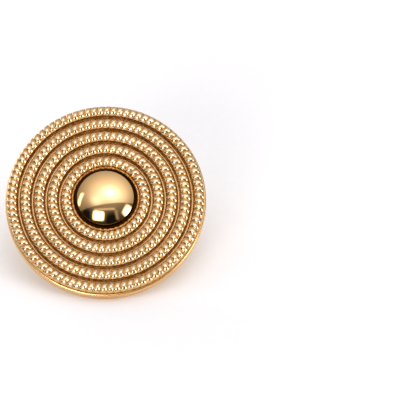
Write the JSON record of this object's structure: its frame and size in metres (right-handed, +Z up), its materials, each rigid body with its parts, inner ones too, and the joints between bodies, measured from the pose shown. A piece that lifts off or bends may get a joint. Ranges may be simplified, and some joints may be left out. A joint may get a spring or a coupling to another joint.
{
  "type": "button stud earring",
  "caption": "Round button stud earring with concentric beaded wire rings round a polished dome and a straight ear post behind.",
  "frame": {"origin": "on the surface that the earring lies on, under the middle of its bounding box", "axes": "+Z up, the face of the disc looks towards -Y and leans back, +X across the disc"},
  "size_m": [0.025, 0.021, 0.0164],
  "materials": {
    "plate": "gold-tone plating, smooth and lightly polished, darker in the grooves",
    "dome": "gold-tone plating, mirror polished",
    "post": "gold-tone plating, drawn wire",
    "beaded_wire": "gold-tone plating, polished beads with warm darker nicks"
  },
  "bodies": {
    "root": {"back_plate": "plate", "dome": "dome", "ear_post": "post", "rope_ring_1": "beaded_wire", "rope_ring_2": "beaded_wire", "rope_ring_3": "beaded_wire", "rope_ring_4": "beaded_wire", "rope_ring_5": "beaded_wire"}
  },
  "joints": []
}
